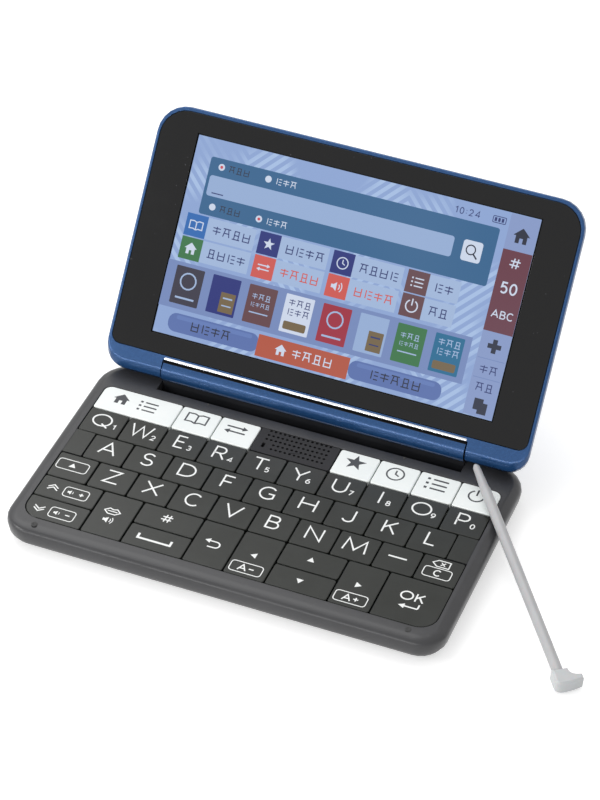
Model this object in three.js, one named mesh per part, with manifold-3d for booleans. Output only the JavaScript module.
// Pocket electronic dictionary with a two-axis link hinge and a loose stylus.
// Millimetres, +Z up, +Y to the hinge. The origin is the centre of the base's flat bottom face.
import * as THREE from "three";
import { mergeVertices } from "three/addons/utils/BufferGeometryUtils.js";
import Module from "manifold-3d";

const wasm = await Module();
wasm.setup();

// Base casing
const baseWidth = 143.2;
const baseDepth = 88;
const baseHeight = 9;
const frontCornerRadius = 9;
const rearCornerRadius = 11.5;
const sideBelly = 5.5;
const shoulderRadius = 1.7;
const rimWidth = 1.5;
const rimDrop = 0.55;
const wall = 1.5;
const deckThickness = 2;
const floorThickness = 1.4;
const partingHeight = 2;
const partingGap = 0.2;
const fitGap = 0.3;
const overrun = 1;

// Lid
const lidThickness = 7.6;
const lidGap = 0.3;
const lidFrontSetback = 0.3;
const lidFarCornerRadius = 9.6;
const lidNearCornerRadius = 6.8;
const lidBackRadius = 5.6;
const lidFrontBevel = 0.5;
const lidBevelDepth = 1.6;
const lidOpenAngle = 126.3;
const lidWall = 1.4;

// Link hinge
const barrelRadius = 4.1;
const barrelFootRadius = 2.5;
const webThickness = 4.5;
const earWidth = 20.3;
const earGap = 0.35;
const pinRadius = 1.5;
const pinLength = 6;
const notchClearance = 0.3;
const deckNotchSetback = 6.65;
const notchLipHeight = 0.6;
const notchLipDrop = 1.6;

// Keyboard
const keyboardSideMargin = 4.4;
const keyboardFrontMargin = 5.95;
const lowRowPitchShare = 0.8379;
const letterRows = 4;
const lowRows = 2;
const columns = 10;
const keyboardSetback = 10.65;
const keyGap = 0.4;
const keyCapHeight = 2;
const keyBevel = 0.2;
const keyCornerRadius = 0.7;
const keyTravel = 0.8;
const keyStemRadius = 1.6;
const keyStemLength = 0.6;
const keyPressGap = 0.1;
const wellFrontRadius = 6;
const wellRearRadius = 2.8;

// Speaker and its grille
const grilleColumns = 2;
const longHoleRow = 14;
const shortHoleRow = 12;
const longHoleRows = 3;
const shortHoleRows = 2;
const grilleThickness = 1.3;
const grilleHoleRadius = 0.5;
const grilleSideEdge = 3.18;
const grilleRearEdge = 0.55;
const grilleFrontEdge = 2.65;
const micWidth = 1;
const micLength = 2.2;
const ledgeThickness = 1;
const ledgeMargin = 2;
const speakerWidth = 20;
const speakerDepth = 9;
const speakerHeight = 1.5;
const speakerLip = 0.8;

// Rubber key mat and circuit board
const matThickness = 0.4;
const domeRadius = 2.6;
const domeTopRadius = 1.7;
const matMargin = 3.7;
const boardThickness = 0.8;
const boardTop = 4.3;
const boardMargin = 1;
const chipHeight = 1.2;
const ribColumns = 4;

// Sockets on the left wall, as distances from the keyboard's rear line
const usbWidth = 8;
const usbHeight = 3;
const usbSetback = 14;
const cardWidth = 12;
const cardHeight = 1.6;
const cardSetback = 30;
const jackRadius = 1.75;
const jackSetback = 44;
const socketDepth = 4.6;
const socketWall = 0.45;

// Battery and its screwed cover
const batteryWidth = 56;
const batteryDepth = 34;
const batteryHeight = 2.9;
const batteryRadius = 2;
const batterySideMargin = 12.1;
const batteryFrontMargin = 19.5;
const coverMargin = 4;
const coverThickness = 0.8;
const coverRadius = 3;
const screwRecessRadius = 2.1;
const screwRecessDepth = 0.7;
const screwBossRadius = 3;
const screwInset = 11;
const rearScrewInset = 5.5;

// Display
const screenSideMargin = 14.05;
const screenFarMargin = 7.82;
const screenSetback = 10.63;
const screenRecess = 0.25;
const panelSideMargin = 1.3;
const panelLedge = 2.8;
const panelNearSetback = 4.2;
const panelFarMargin = 1.5;
const panelNearRadius = 3;
const panelFarRadius = 8.6;
const panelThickness = 1.1;
const displayBorder = 3;
const displayThickness = 2.2;

// Stylus and its storage slot
const stylusLength = 89;
const stylusRadius = 1.7;
const stylusNeckRadius = 1.5;
const stylusTipRadius = 1.15;
const stylusTipLength = 10.2;
const stylusCollarLength = 0.6;
const stylusButtHeight = 2.7;
const stylusTipIn = 15.35;
const stylusTipRear = 32.77;
const stylusTipAbove = 4.6;
const stylusTurn = 53.69;
const stylusCapLength = 5.8;
const stylusHookReach = 6.1;
const stylusHookThickness = 0.9;
const stylusCapRounding = 1.9;
const stylusCapWidth = 5;
const stylusHookTip = 2.9;
const slotSize = 4.3;
const slotSetback = 2.75;
const slotHeight = 4.8;
const slotEnd = 20;

// Faces on round shapes
const cornerSteps = 6;
const keyCornerSteps = 2;
const roundSides = 24;
const shaftSides = 12;
const holeSides = 6;
const edgeSteps = 4;

// Places worked out from the sizes above
const half = 0.5;
const baseHalfWidth = baseWidth * half;
const baseHalfDepth = baseDepth * half;
const hingeRadius = baseHeight * half;
const axisY = baseHalfDepth - hingeRadius;
const lidHalfThickness = lidThickness * half;
const upperAxisZ = baseHeight + lidGap + lidHalfThickness;
const lidLength = axisY + baseHalfDepth - lidFrontSetback;
const screenHalfWidth = baseHalfWidth - screenSideMargin;
const screenFar = lidLength - screenFarMargin;
const panelHalfWidth = baseHalfWidth - panelSideMargin;
const barrelHalfLength = baseHalfWidth - earWidth;
const keyboardRear = axisY - keyboardSetback;
const keyboardHalfWidth = baseHalfWidth - keyboardSideMargin;
const keyPitch = keyboardHalfWidth / half / columns;
const keyboardFront = keyboardFrontMargin - baseHalfDepth;
const rowPitch = (keyboardRear - keyboardFront) / (letterRows + lowRows * lowRowPitchShare);
const lowRowPitch = rowPitch * lowRowPitchShare;
const keyBottom = baseHeight - keyCapHeight;
const stemBottom = keyBottom - keyStemLength;
const matBottom = boardTop + fitGap;
const matTop = matBottom + matThickness;
const domeHeight = stemBottom - matTop - keyTravel - keyPressGap;
const boardBottom = boardTop - boardThickness;
const deckBottom = baseHeight - deckThickness;
const innerHalfWidth = baseHalfWidth - wall;
const innerFront = wall - baseHalfDepth;
const batteryX = innerHalfWidth - batterySideMargin - batteryWidth * half;
const batteryY = innerFront + batteryFrontMargin + batteryDepth * half;
const notchHalfWidth = barrelHalfLength + earGap;
const upperCaseBottom = partingHeight + partingGap * half;
const lowerCaseTop = partingHeight - partingGap * half;

const colours = {
  casing: { color: 0x505054, roughness: 0.62, metalness: 0 },
  key: { color: 0x424442, roughness: 0.5, metalness: 0 },
  whiteKey: { color: 0xe9ecec, roughness: 0.35, metalness: 0 },
  blue: { color: 0x2d558c, roughness: 0.32, metalness: 0.2 },
  black: { color: 0x0b0b0c, roughness: 0.12, metalness: 0 },
  screen: { color: 0x9fb6dc, roughness: 0.3, metalness: 0 },
  rubber: { color: 0x9a9c9b, roughness: 0.9, metalness: 0 },
  board: { color: 0x1d5a3a, roughness: 0.55, metalness: 0 },
  battery: { color: 0x2a2c30, roughness: 0.5, metalness: 0 },
  steel: { color: 0xa8abb0, roughness: 0.35, metalness: 1 },
  stylus: { color: 0xb8bbbc, roughness: 0.4, metalness: 0 },
};

// A closed three.js geometry as a solid
function solid(geometry) {
  geometry.deleteAttribute("normal");
  geometry.deleteAttribute("uv");
  const merged = mergeVertices(geometry);
  return new wasm.Manifold(new wasm.Mesh({
    numProp: 3,
    vertProperties: new Float32Array(merged.attributes.position.array),
    triVerts: new Uint32Array(merged.index.array),
  }));
}

// Adds a solid to a group as a named mesh
function place(group, name, body, colour) {
  const shape = body.getMesh();
  const geometry = new THREE.BufferGeometry();
  geometry.setAttribute("position", new THREE.BufferAttribute(shape.vertProperties, 3));
  geometry.setIndex(new THREE.BufferAttribute(shape.triVerts, 1));
  geometry.computeVertexNormals();
  const mesh = new THREE.Mesh(geometry, new THREE.MeshStandardMaterial(colours[colour]));
  mesh.name = name;
  group.add(mesh);
}

function block(x0, x1, y0, y1, z0, z1) {
  const geometry = new THREE.BoxGeometry(x1 - x0, y1 - y0, z1 - z0);
  geometry.translate((x0 + x1) * half, (y0 + y1) * half, (z0 + z1) * half);
  return solid(geometry);
}

// A rounded rectangle at height z; radii run front left, front right, rear right, rear left
function outline(x0, x1, y0, y1, radii, steps, z) {
  const centres = [
    [x0 + radii[0], y0 + radii[0], 2],
    [x1 - radii[1], y0 + radii[1], 3],
    [x1 - radii[2], y1 - radii[2], 0],
    [x0 + radii[3], y1 - radii[3], 1],
  ];
  return centres.flatMap(([x, y, quarter], corner) => Array.from({ length: steps + 1 }, (_, i) => {
    const angle = (quarter + i / steps) * Math.PI / 2;
    const point = [x + radii[corner] * Math.cos(angle), y + radii[corner] * Math.sin(angle)];
    return new THREE.Vector3(point[0], point[1], z);
  }));
}

// A closed skin through a stack of outlines with the same number of points
function loft(rings) {
  const count = rings[0].length;
  const index = [];
  rings.slice(1).forEach((_, level) => {
    for (let i = 0; i < count; i += 1) {
      const a = level * count + i;
      const b = level * count + (i + 1) % count;
      index.push(a, b, b + count, a, b + count, a + count);
    }
  });
  const last = (rings.length - 1) * count;
  for (let i = 1; i < count - 1; i += 1) {
    index.push(0, i + 1, i, last, last + i, last + i + 1);
  }
  const geometry = new THREE.BufferGeometry().setFromPoints(rings.flat());
  geometry.setIndex(index);
  return solid(geometry);
}

function slab(x0, x1, y0, y1, radii, z0, z1, steps = cornerSteps) {
  return loft([z0, z1].map((z) => outline(x0, x1, y0, y1, radii, steps, z)));
}

// A round bar along Z from z0 to z1
function post(x, y, radius, z0, z1, sides = roundSides) {
  const geometry = new THREE.CylinderGeometry(radius, radius, z1 - z0, sides);
  geometry.rotateX(Math.PI / 2);
  geometry.translate(x, y, (z0 + z1) * half);
  return solid(geometry);
}

// A round bar along X from x0 to x1
function crossbar(x0, x1, y, z, radius) {
  const geometry = new THREE.CylinderGeometry(radius, radius, x1 - x0, roundSides);
  geometry.rotateZ(Math.PI / 2);
  geometry.translate((x0 + x1) * half, y, z);
  return solid(geometry);
}

function fourCorners(radius) {
  return Array(4).fill(radius);
}

// How far a quarter round of the given radius draws in at a distance from its tangent
function roundInset(radius, distance) {
  const reach = Math.min(Math.max(distance, 0), radius);
  return radius - Math.sqrt(radius * radius - (radius - reach) * (radius - reach));
}

// Heights from low to high that step round a quarter circle
function quarterHeights(radius, steps) {
  return Array.from({ length: steps }, (_, i) => radius * (1 - Math.cos(i / steps * Math.PI / 2)));
}

// The base's whole outer form: belly, flat side, shoulder, stepped rim and half-round rear
function baseForm() {
  const rimFoot = baseHeight - rimDrop;
  const bellyHeights = quarterHeights(sideBelly, edgeSteps);
  const shoulderHeights = quarterHeights(shoulderRadius, edgeSteps).map((h) => rimFoot - h).reverse();
  const levels = bellyHeights.map((z) => [z, roundInset(sideBelly, z)]);
  levels.push([sideBelly, 0], [rimFoot - shoulderRadius, 0]);
  levels.push(...shoulderHeights.map((z) => [z, roundInset(shoulderRadius, rimFoot - z)]));
  levels.push([rimFoot + rimDrop * half, shoulderRadius + rimWidth * half]);
  levels.push([baseHeight, shoulderRadius + rimWidth]);
  return loft(levels.map(([z, inset]) => {
    const rearInset = roundInset(hingeRadius, Math.min(z, baseHeight - z));
    const front = Math.max(frontCornerRadius - inset, wall);
    const rear = Math.max(rearCornerRadius - inset, wall);
    const radii = [front, front, rear, rear];
    const side = baseHalfWidth - inset;
    return outline(-side, side, inset - baseHalfDepth, baseHalfDepth - rearInset, radii, cornerSteps, z);
  }));
}

// The recess that the hinge barrel swings in, with a lip at the deck
function baseNotch() {
  const deckEdge = axisY - deckNotchSetback;
  const bodyEdge = axisY - barrelRadius - notchClearance;
  const lipFoot = baseHeight - notchLipHeight;
  const profile = new THREE.Shape([
    new THREE.Vector2(baseHalfDepth + overrun, -overrun),
    new THREE.Vector2(baseHalfDepth + overrun, baseHeight + overrun),
    new THREE.Vector2(deckEdge, baseHeight + overrun),
    new THREE.Vector2(deckEdge, lipFoot),
    new THREE.Vector2(bodyEdge, lipFoot - notchLipDrop),
    new THREE.Vector2(bodyEdge, -overrun),
  ]);
  return alongX(profile, -notchHalfWidth, notchHalfWidth);
}

// A profile drawn in Y and Z, pushed along X
function alongX(profile, x0, x1) {
  const geometry = new THREE.ExtrudeGeometry(profile, {
    depth: x1 - x0, bevelEnabled: false, curveSegments: roundSides * half,
  });
  geometry.rotateX(Math.PI / 2);
  geometry.rotateZ(Math.PI / 2);
  geometry.translate(x0, 0, 0);
  return solid(geometry);
}

// Every key: name, first row, rows spanned, left and right edge in pitches, and round corners
const letterLines = ["qwertyuiop", "asdfghjkl", "zxcvbnm"];
const topKeyShares = [
  ["home", 0, 2], ["shortcut_1", 2, 3], ["shortcut_2", 3, 4], ["shortcut_3", 6, 7],
  ["shortcut_4", 7, 8], ["shortcut_5", 8, 9], ["power", 9, 10],
];
const lowKeyShares = [
  ["shift", 3, 1, 0, 1], ["dash", 3, 1, 8, 9], ["delete", 3, 1, 9, 10],
  ["volume_up", 4, 1, 0, 1.5], ["volume_down", 5, 1, 0, 1.5], ["voice", 4, 2, 1.5, 2.5],
  ["symbol", 4, 1, 2.5, 4], ["space", 5, 1, 2.5, 4], ["back", 4, 2, 4, 5], ["left", 4, 2, 5, 6],
  ["up", 4, 1, 6, 7.5], ["down", 5, 1, 6, 7.5], ["right", 4, 2, 7.5, 8.5], ["enter", 4, 2, 8.5, 10],
];
const letterStartShares = [0, 0.5, 1];
const roundCornerKeys = { volume_down: 0, enter: 1, power: 2, home: 3 };
const blankRow = 2;

function keyList() {
  const keys = topKeyShares.map(([name, left, right]) => ({ name, row: 0, rows: 1, left, right }));
  letterLines.forEach((line, i) => [...line].forEach((letter, n) => {
    const left = letterStartShares[i] + n;
    keys.push({ name: letter, row: i + 1, rows: 1, left, right: left + 1 });
  }));
  lowKeyShares.forEach(([name, row, rows, left, right]) => keys.push({ name, row, rows, left, right }));
  return keys;
}

function rowLine(row) {
  const tall = Math.min(row, letterRows) * rowPitch;
  return keyboardRear - tall - Math.max(row - letterRows, 0) * lowRowPitch;
}

// The space of one key between the centre lines of the gaps round it
function keyCell(key) {
  return {
    x0: key.left * keyPitch - keyboardHalfWidth,
    x1: key.right * keyPitch - keyboardHalfWidth,
    y0: rowLine(key.row + key.rows),
    y1: rowLine(key.row),
  };
}

// A flat keycap with bevelled edges and the stem that presses its dome
function keyCap(key) {
  const cell = keyCell(key);
  const inset = keyGap * half;
  const radii = fourCorners(keyCornerRadius);
  const steps = key.name in roundCornerKeys ? cornerSteps : keyCornerSteps;
  if (key.name in roundCornerKeys) {
    const corner = roundCornerKeys[key.name];
    radii[corner] = (corner < 2 ? wellFrontRadius : wellRearRadius) - inset;
  }
  const ringAt = (shrink, z) => outline(
    cell.x0 + inset + shrink, cell.x1 - inset - shrink, cell.y0 + inset + shrink, cell.y1 - inset - shrink,
    radii.map((r) => Math.max(r - shrink, keyBevel * half)), steps, z,
  );
  const cap = loft([
    ringAt(0, keyBottom), ringAt(0, baseHeight - keyBevel), ringAt(keyBevel, baseHeight),
  ]);
  const x = (cell.x0 + cell.x1) * half;
  const y = (cell.y0 + cell.y1) * half;
  return cap.add(post(x, y, keyStemRadius, stemBottom, keyBottom + keyBevel, holeSides));
}

// The opening that all the keys share, with the two half-key blanks left standing in it
function keyWell() {
  const radii = [wellFrontRadius, wellFrontRadius, wellRearRadius, wellRearRadius];
  const well = slab(
    -keyboardHalfWidth, keyboardHalfWidth, keyboardFront, keyboardRear, radii,
    partingHeight, baseHeight + overrun,
  );
  const blankWidth = keyPitch * half;
  const blanks = [-1, 1].map((side) => block(
    side < 0 ? -keyboardHalfWidth - overrun : keyboardHalfWidth - blankWidth + keyGap * half,
    side < 0 ? blankWidth - keyboardHalfWidth - keyGap * half : keyboardHalfWidth + overrun,
    rowLine(blankRow + 1) + keyGap * half, rowLine(blankRow) - keyGap * half,
    deckBottom, baseHeight + overrun + overrun,
  ));
  return blanks.reduce((sum, blank) => sum.subtract(blank), well);
}

// A cut that lets the stylus slide in from the left side
function stylusSlot() {
  const y = keyboardRear + slotSetback;
  const reach = slotSize * half;
  return block(
    -baseHalfWidth - overrun, slotEnd, y - reach, y + reach, slotHeight - reach, slotHeight + reach,
  );
}

const sockets = [
  { y: keyboardRear - usbSetback, width: usbWidth, height: usbHeight },
  { y: keyboardRear - cardSetback, width: cardWidth, height: cardHeight },
];
const jackY = keyboardRear - jackSetback;
const socketZ = (boardTop + boardBottom) * half;
const socketFoot = socketZ - usbHeight * half - socketWall;
const socketMouth = roundInset(sideBelly, socketFoot) + fitGap - innerHalfWidth;

function socketCuts() {
  const jack = crossbar(-baseHalfWidth - overrun, socketMouth, jackY, socketZ, jackRadius);
  return sockets.reduce((sum, s) => sum.add(block(
    -baseHalfWidth - overrun, socketMouth, s.y - s.width * half, s.y + s.width * half,
    socketZ - s.height * half, socketZ + s.height * half,
  )), jack);
}

function pinHoles(y, z) {
  const radius = pinRadius + notchClearance;
  const depth = pinLength + earGap + fitGap;
  const left = crossbar(-notchHalfWidth - depth, -notchHalfWidth + overrun, y, z, radius);
  return left.add(crossbar(notchHalfWidth - overrun, notchHalfWidth + depth, y, z, radius));
}

// The room inside the base between walls that follow the belly, from one height to another
function baseRoom(z0, z1, drawIn) {
  const bellyHeights = quarterHeights(sideBelly, edgeSteps).filter((z) => z > z0);
  return loft([z0, ...bellyHeights, sideBelly, z1].map((z) => {
    const inset = roundInset(sideBelly, z) + drawIn;
    const radius = Math.max(frontCornerRadius - wall - inset, wall);
    const x = innerHalfWidth - inset;
    const radii = [radius, radius, wall, wall];
    return outline(-x, x, innerFront + inset, keyboardRear, radii, cornerSteps, z);
  }));
}

const grilleHalf = (grilleColumns * keyPitch - keyGap) * half;
const grilleHolePitch = (grilleHalf - grilleSideEdge) / half / (longHoleRow - 1);
const grilleHoleDepth = rowPitch - keyGap - grilleRearEdge - grilleFrontEdge;
const grilleRowPitch = grilleHoleDepth / (longHoleRows + shortHoleRows - 1);

// Top half of the casing, with the well, the sockets, the slot and the hinge ears cut into it
function upperCase() {
  const ledgeTop = baseHeight - grilleThickness - fitGap;
  const ledgeFoot = ledgeTop - ledgeThickness;
  const ledge = block(
    -grilleHalf, grilleHalf, rowLine(1) + keyGap * half, keyboardRear + overrun, ledgeFoot, ledgeTop,
  ).subtract(block(
    ledgeMargin - grilleHalf, grilleHalf - ledgeMargin, rowLine(1) + ledgeMargin,
    keyboardRear - ledgeMargin, ledgeFoot - overrun, ledgeTop + overrun,
  ));
  const trim = block(-baseWidth, baseWidth, -baseDepth, baseDepth, -overrun, upperCaseBottom);
  const hollow = baseForm().subtract(trim).subtract(baseRoom(0, deckBottom, 0)).subtract(keyWell());
  const cuts = [baseNotch(), stylusSlot(), socketCuts(), pinHoles(axisY, hingeRadius)];
  return cuts.reduce((body, cut) => body.subtract(cut), hollow.add(ledge));
}

const coverHalfWidth = batteryWidth * half + coverMargin;
const coverHalfDepth = batteryDepth * half + coverMargin;

function coverSlab(grow, z0, z1) {
  const radius = coverRadius + grow;
  return slab(
    batteryX - coverHalfWidth - grow, batteryX + coverHalfWidth + grow, batteryY - coverHalfDepth - grow,
    batteryY + coverHalfDepth + grow, fourCorners(radius), z0, z1,
  );
}

const coverScrewY = batteryY - coverHalfDepth + screwBossRadius + partingGap;

function screwPlaces() {
  const x = baseHalfWidth - screwInset;
  const front = screwInset - baseHalfDepth;
  const rear = axisY - rearScrewInset;
  return [[-x, front], [x, front], [-x, rear], [x, rear]];
}

// Bottom half of the casing, with its ribs, screw places, battery opening and room for the jack
function lowerCase() {
  const trim = block(-baseWidth, baseWidth, -baseDepth, baseDepth, lowerCaseTop, baseHeight + overrun);
  const supportTop = boardBottom - fitGap;
  let body = baseForm().subtract(trim).subtract(baseRoom(floorThickness, baseHeight, wall * half));
  [-1, 0, 1].forEach((side) => {
    const x = side * keyPitch * ribColumns;
    const rib = block(
      x - wall * half, x + wall * half, keyboardFront + wall, keyboardRear - wall,
      floorThickness * half, supportTop,
    );
    body = body.add(rib);
  });
  screwPlaces().slice(0, 2).forEach(([x, y]) => {
    body = body.add(post(x, y, screwBossRadius, floorThickness * half, supportTop));
  });
  body = body.subtract(slab(
    batteryX - batteryWidth * half - fitGap, batteryX + batteryWidth * half + fitGap,
    batteryY - batteryDepth * half - fitGap, batteryY + batteryDepth * half + fitGap,
    fourCorners(batteryRadius), -overrun, baseHeight,
  ));
  body = body.subtract(coverSlab(fitGap, -overrun, coverThickness + partingGap));
  screwPlaces().forEach(([x, y]) => {
    body = body.subtract(post(x, y, screwRecessRadius, -overrun, screwRecessDepth));
  });
  const jackHalf = jackRadius + socketWall + fitGap;
  body = body.subtract(block(
    socketMouth - fitGap, socketMouth + socketDepth + fitGap, jackY - jackHalf, jackY + jackHalf,
    socketZ - jackHalf, baseHeight,
  ));
  return body.subtract(baseNotch());
}

function batteryCover() {
  const recess = post(batteryX, coverScrewY, screwRecessRadius, -overrun, coverThickness * half);
  return coverSlab(0, 0, coverThickness).subtract(recess);
}

function batteryPack() {
  const bottom = coverThickness + fitGap;
  const ringAt = (inset, z) => outline(
    batteryX - batteryWidth * half + inset, batteryX + batteryWidth * half - inset,
    batteryY - batteryDepth * half + inset, batteryY + batteryDepth * half - inset,
    fourCorners(batteryRadius - inset * half), edgeSteps, z,
  );
  const top = bottom + batteryHeight;
  return loft([
    ringAt(fitGap, bottom), ringAt(0, bottom + fitGap), ringAt(0, top - fitGap), ringAt(fitGap, top),
  ]);
}

// The grille: three long rows of holes, two shorter ones and the microphone slot beside them
function speakerGrille() {
  const rear = keyboardRear - keyGap * half;
  const bottom = baseHeight - grilleThickness;
  let plate = slab(
    -grilleHalf, grilleHalf, rowLine(1) + keyGap * half, rear, fourCorners(keyCornerRadius),
    bottom, baseHeight, keyCornerSteps,
  );
  const holeRows = [...Array(longHoleRows).fill(longHoleRow), ...Array(shortHoleRows).fill(shortHoleRow)];
  const right = (longHoleRow - 1) * grilleHolePitch * half;
  holeRows.forEach((count, row) => {
    for (let i = 0; i < count; i += 1) {
      const x = right - i * grilleHolePitch;
      const y = rear - grilleRearEdge - row * grilleRowPitch;
      const hole = post(x, y, grilleHoleRadius, bottom - overrun, baseHeight + overrun, holeSides);
      plate = plate.subtract(hole);
    }
  });
  const micY = rear - grilleRearEdge - (longHoleRows + half) * grilleRowPitch;
  return plate.subtract(block(
    -right - micWidth * half, -right + micWidth * half, micY - micLength * half, micY + micLength * half,
    bottom - overrun, baseHeight + overrun,
  ));
}

function speakerUnit() {
  const y = (keyboardRear + rowLine(1)) * half;
  const bottom = boardTop + fitGap;
  const top = bottom + speakerHeight;
  const radii = fourCorners(speakerLip);
  const x = speakerWidth * half;
  const reach = speakerDepth * half;
  const frame = slab(-x, x, y - reach, y + reach, radii, bottom, top, keyCornerSteps);
  const coneX = x - speakerLip;
  const coneY = reach - speakerLip;
  return frame.subtract(slab(
    -coneX, coneX, y - coneY, y + coneY, radii, top - speakerLip * half, top + overrun, keyCornerSteps,
  ));
}

// The rubber mat with one dome under each key, cut away round the speaker
function keypadMat(keys) {
  const x = keyboardHalfWidth - matMargin;
  const front = keyboardFront + fitGap;
  let mat = slab(
    -x, x, front, keyboardRear - fitGap, [wellFrontRadius, wellFrontRadius, wall, wall], matBottom, matTop,
  );
  keys.forEach((key) => {
    const cell = keyCell(key);
    const height = domeHeight + matThickness * half;
    const geometry = new THREE.CylinderGeometry(domeTopRadius, domeRadius, height, holeSides);
    geometry.rotateX(Math.PI / 2);
    const z = matTop + (domeHeight - matThickness * half) * half;
    geometry.translate((cell.x0 + cell.x1) * half, (cell.y0 + cell.y1) * half, z);
    mat = mat.add(solid(geometry));
  });
  const gapX = speakerWidth * half + fitGap;
  const y = (keyboardRear + rowLine(1)) * half;
  return mat.subtract(block(
    -gapX, gapX, y - speakerDepth * half - fitGap, keyboardRear + overrun, matBottom - overrun, baseHeight,
  ));
}

// The circuit board with the sockets on its left edge and chips on its lower side
function circuitBoard() {
  const x = innerHalfWidth - boardMargin;
  const radius = frontCornerRadius - wall - boardMargin;
  let board = slab(
    -x, x, keyboardFront - fitGap, keyboardRear - fitGap, [radius, radius, wall, wall], boardBottom, boardTop,
  );
  board = board.subtract(block(
    batteryX - batteryWidth * half - fitGap, batteryX + batteryWidth * half + fitGap,
    batteryY - batteryDepth * half - fitGap, batteryY + batteryDepth * half + fitGap,
    boardBottom - overrun, boardTop + overrun,
  ));
  const socketEnd = socketMouth + socketDepth;
  sockets.forEach((s) => {
    const w = s.width * half - socketWall * half;
    const h = s.height * half;
    board = board.add(block(
      socketMouth, socketEnd, s.y - w - socketWall, s.y + w + socketWall,
      socketZ - h - socketWall, socketZ + h + socketWall,
    )).subtract(block(
      socketMouth - overrun, socketEnd - socketWall, s.y - w, s.y + w, socketZ - h, socketZ + h,
    ));
  });
  const jackHalf = jackRadius + socketWall;
  board = board.add(block(
    socketMouth, socketEnd, jackY - jackHalf, jackY + jackHalf, socketZ - jackHalf, socketZ + jackHalf,
  )).subtract(crossbar(socketMouth - overrun, socketEnd - socketWall, jackY, socketZ, jackRadius));
  const chipShares = [
    [-0.62, 0.3, 0.1, 0.14], [-0.36, 0.34, 0.08, 0.09], [-0.35, -0.3, 0.12, 0.1], [-0.64, -0.2, 0.06, 0.06],
  ];
  chipShares.forEach(([u, v, w, d]) => {
    const cx = u * innerHalfWidth;
    const cy = v * baseHalfDepth;
    board = board.add(block(
      cx - w * innerHalfWidth, cx + w * innerHalfWidth, cy - d * baseHalfDepth, cy + d * baseHalfDepth,
      boardBottom - chipHeight, boardBottom + boardThickness * half,
    ));
  });
  return board;
}

const webHalf = webThickness * half;

// The link between base and lid: a round bar on each axis, the web that joins them and stub pins
function hingeBarrel() {
  const web = block(
    -barrelHalfLength, barrelHalfLength, axisY - webHalf, axisY + webHalf, hingeRadius, upperAxisZ,
  );
  const pinReach = barrelHalfLength + pinLength;
  const bars = [[hingeRadius, barrelFootRadius], [upperAxisZ, barrelRadius]];
  return bars.reduce((sum, [z, radius]) => sum.add(
    crossbar(-barrelHalfLength, barrelHalfLength, axisY, z, radius),
  ).add(crossbar(-pinReach, pinReach, axisY, z, pinRadius)), web);
}

const lidBevelShare = 0.25;

// The lid's outer form, drawn open flat with its front face up and the upper axis as its origin
function lidForm() {
  const backHeights = quarterHeights(lidBackRadius, edgeSteps);
  const levels = backHeights.map((h) => [h - lidHalfThickness, roundInset(lidBackRadius, h)]);
  levels.push([lidBackRadius - lidHalfThickness, 0], [lidHalfThickness - lidBevelDepth, 0]);
  levels.push([lidHalfThickness - lidFrontBevel * half, lidFrontBevel * lidBevelShare]);
  levels.push([lidHalfThickness, lidFrontBevel]);
  return loft(levels.map(([z, inset]) => {
    const nearInset = roundInset(lidHalfThickness, lidHalfThickness - Math.abs(z));
    const near = Math.max(lidNearCornerRadius - inset, wall);
    const far = lidFarCornerRadius - inset;
    const side = baseHalfWidth - inset;
    return outline(
      -side, side, nearInset - lidHalfThickness, lidLength - inset, [near, near, far, far], cornerSteps, z,
    );
  }));
}

const panelBottom = lidHalfThickness - panelThickness;
const panelFar = lidLength - panelFarMargin;

function panelSlab(grow, z0, z1) {
  const near = panelNearRadius + grow;
  const far = panelFarRadius + grow;
  return slab(
    -panelHalfWidth - grow, panelHalfWidth + grow, panelNearSetback - grow, panelFar + grow,
    [near, near, far, far], z0, z1,
  );
}

// The blue shell of the lid, with its two hinge ears, the panel's recess and the display's room
function lidBackCover() {
  const webEdge = webHalf + notchClearance;
  const recess = panelSlab(partingGap, panelBottom - fitGap, lidHalfThickness + overrun);
  const roomX = panelHalfWidth - panelLedge;
  const farRadius = panelFarRadius - lidWall;
  const room = slab(
    -roomX, roomX, panelNearSetback + lidWall, panelFar - lidWall,
    [panelNearRadius, panelNearRadius, farRadius, farRadius], lidWall - lidHalfThickness, lidHalfThickness,
  );
  const notch = block(
    -notchHalfWidth, notchHalfWidth, -lidThickness, webEdge, -lidThickness, lidThickness,
  ).add(crossbar(-notchHalfWidth, notchHalfWidth, 0, 0, barrelRadius + notchClearance));
  return lidForm().subtract(recess).subtract(room).subtract(notch).subtract(pinHoles(0, 0));
}

function screenBlock(grow, z0, z1) {
  const x = screenHalfWidth + grow;
  return block(-x, x, screenSetback - grow, screenFar + grow, z0, z1);
}

function lidFrontPanel() {
  return panelSlab(0, panelBottom, lidHalfThickness).subtract(
    screenBlock(fitGap, panelBottom - overrun, lidHalfThickness + overrun),
  );
}

function displayPanel() {
  const top = panelBottom - fitGap;
  return screenBlock(displayBorder, top - displayThickness, top).add(
    screenBlock(0, top - displayThickness * half, lidHalfThickness - screenRecess),
  );
}

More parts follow.
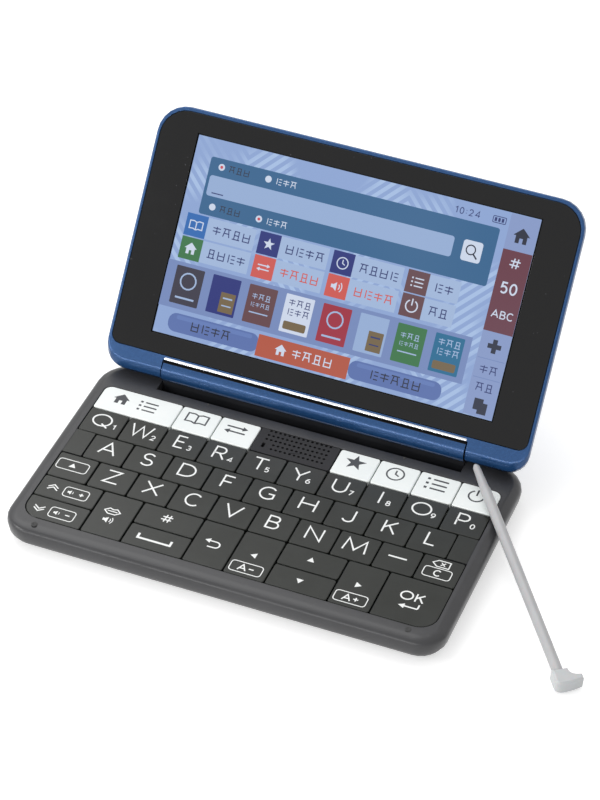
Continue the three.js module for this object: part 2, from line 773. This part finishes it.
// The stylus stands along +Z from its butt: hooked cap, shaft, collar and tapered tip
function stylusBody() {
  const collar = stylusLength - stylusTipLength;
  const profile = [
    [0, 0], [stylusRadius, 0], [stylusRadius, collar - stylusCollarLength], [stylusNeckRadius, collar],
    [stylusTipRadius, stylusLength - stylusTipRadius], [stylusTipRadius * half, stylusLength],
    [0, stylusLength],
  ].map(([r, z]) => new THREE.Vector2(r, z));
  const shaft = new THREE.LatheGeometry(profile, shaftSides);
  shaft.rotateX(Math.PI / 2);
  const reach = stylusCapWidth * half;
  const hook = new THREE.Shape();
  hook.moveTo(-reach, stylusCapLength);
  hook.lineTo(-reach, stylusCapRounding);
  hook.quadraticCurveTo(-reach, 0, 0, 0);
  hook.quadraticCurveTo(stylusHookReach * half, 0, stylusHookReach, stylusHookThickness);
  hook.lineTo(stylusHookReach, stylusHookTip);
  hook.quadraticCurveTo(reach, stylusHookTip, reach, stylusCapLength);
  hook.closePath();
  const bevel = stylusTipRadius * half;
  const cap = new THREE.ExtrudeGeometry(hook, {
    depth: stylusCapWidth - bevel - bevel, bevelSize: bevel, bevelOffset: -bevel, bevelThickness: bevel,
    bevelSegments: 1, curveSegments: edgeSteps,
  });
  cap.translate(0, 0, bevel);
  cap.rotateX(Math.PI / 2);
  cap.translate(0, reach, -stylusHookThickness);
  return solid(shaft).add(solid(cap));
}

// The stylus leans with its tip over the deck by the hinge ear and its butt just above the floor
function stylusPlacement(group) {
  const tip = new THREE.Vector3(baseHalfWidth - stylusTipIn, stylusTipRear, baseHeight + stylusTipAbove);
  const rise = tip.z - stylusButtHeight;
  const run = Math.sqrt(stylusLength * stylusLength - rise * rise);
  const turn = THREE.MathUtils.degToRad(stylusTurn);
  const butt = tip.clone().add(new THREE.Vector3(run * Math.cos(turn), -run * Math.sin(turn), -rise));
  const along = tip.clone().sub(butt).normalize();
  const side = new THREE.Vector3(0, 0, 1).cross(along).normalize().negate();
  const up = along.clone().cross(side).normalize();
  group.position.copy(butt);
  group.setRotationFromMatrix(new THREE.Matrix4().makeBasis(side, up, along));
}

const keys = keyList();
const dictionary = new THREE.Group();

const base = new THREE.Group();
place(base, "lower_case", lowerCase(), "casing");
place(base, "upper_case", upperCase(), "casing");
place(base, "speaker_grille", speakerGrille(), "casing");
place(base, "speaker", speakerUnit(), "steel");
place(base, "keypad_mat", keypadMat(keys), "rubber");
place(base, "circuit_board", circuitBoard(), "board");
place(base, "battery_pack", batteryPack(), "battery");
place(base, "battery_cover", batteryCover(), "casing");
place(base, "hinge_barrel", hingeBarrel(), "blue");
keys.forEach((key) => place(base, `key_${key.name}`, keyCap(key), key.row === 0 ? "whiteKey" : "key"));

const lid = new THREE.Group();
place(lid, "lid_back_cover", lidBackCover(), "blue");
place(lid, "lid_front_panel", lidFrontPanel(), "black");
place(lid, "display_panel", displayPanel(), "screen");
lid.position.set(0, axisY, upperAxisZ);
lid.rotation.x = Math.PI - THREE.MathUtils.degToRad(lidOpenAngle);

const stylus = new THREE.Group();
place(stylus, "stylus", stylusBody(), "stylus");
stylusPlacement(stylus);

dictionary.add(base, lid, stylus);

export default dictionary;
